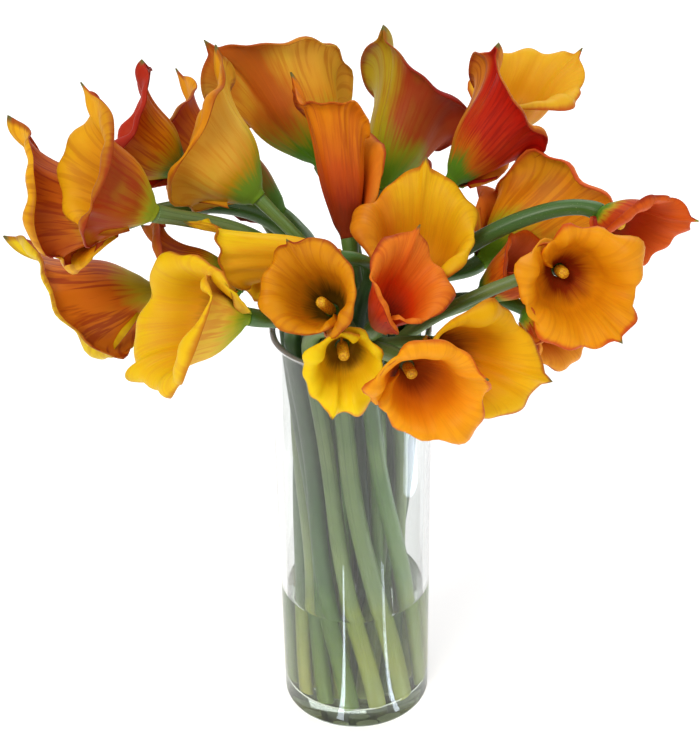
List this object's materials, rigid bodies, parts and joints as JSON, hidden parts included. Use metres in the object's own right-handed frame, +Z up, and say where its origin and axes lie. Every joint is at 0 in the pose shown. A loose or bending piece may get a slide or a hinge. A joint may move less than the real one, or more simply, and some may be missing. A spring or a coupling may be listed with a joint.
{
  "type": "vase of calla lilies",
  "caption": "Orange and yellow calla lilies with long green stems, standing in water in a clear glass cylinder vase.",
  "frame": {"origin": "centre of the vase's underside, where it stands", "axes": "+Z up along the vase's axis, -Y towards the front of the bunch, +X to the viewer's right"},
  "size_m": [0.3973, 0.2901, 0.4429],
  "materials": {
    "glass": "clear, polished",
    "water": "clear, still water",
    "stem": "smooth green stem with a satin sheen",
    "spathe": "soft petal, satin outside and velvety inside, from yellow to orange and deep red",
    "spadix": "matte, finely grained yellow"
  },
  "bodies": {
    "root": {"vase": "glass", "water": "water", "stem_left_low": "stem", "spathe_left_low": "spathe", "stem_left_mid": "stem", "spathe_left_mid": "spathe", "stem_left_high": "stem", "spathe_left_high": "spathe", "stem_left_crown": "stem", "spathe_left_crown": "spathe", "stem_left_swirl": "stem", "spathe_left_swirl": "spathe", "stem_left_back": "stem", "spathe_left_back": "spathe", "stem_left_shade": "stem", "spathe_left_shade": "spathe", "stem_top_left": "stem", "spathe_top_left": "spathe", "stem_top_twist": "stem", "spathe_top_twist": "spathe", "stem_mid_yellow": "stem", "spathe_mid_yellow": "spathe", "stem_mid_left": "stem", "spathe_mid_left": "spathe", "stem_front_yellow": "stem", "spathe_front_yellow": "spathe", "stem_centre": "stem", "spathe_centre": "spathe", "stem_centre_front": "stem", "spathe_centre_front": "spathe", "stem_top_tall": "stem", "spathe_top_tall": "spathe", "stem_top_far": "stem", "spathe_top_far": "spathe", "stem_top_red": "stem", "spathe_top_red": "spathe", "stem_right_high": "stem", "spathe_right_high": "spathe", "stem_right_far": "stem", "spathe_right_far": "spathe", "stem_right_mid": "stem", "spathe_right_mid": "spathe", "stem_right_frill": "stem", "spathe_right_frill": "spathe", "stem_right_low": "stem", "spathe_right_low": "spathe", "stem_front_right": "stem", "spathe_front_right": "spathe", "stem_front_low": "stem", "spathe_front_low": "spathe", "stem_left_front": "stem", "spathe_left_front": "spathe", "stem_left_inner": "stem", "spathe_left_inner": "spathe"}
  },
  "joints": []
}
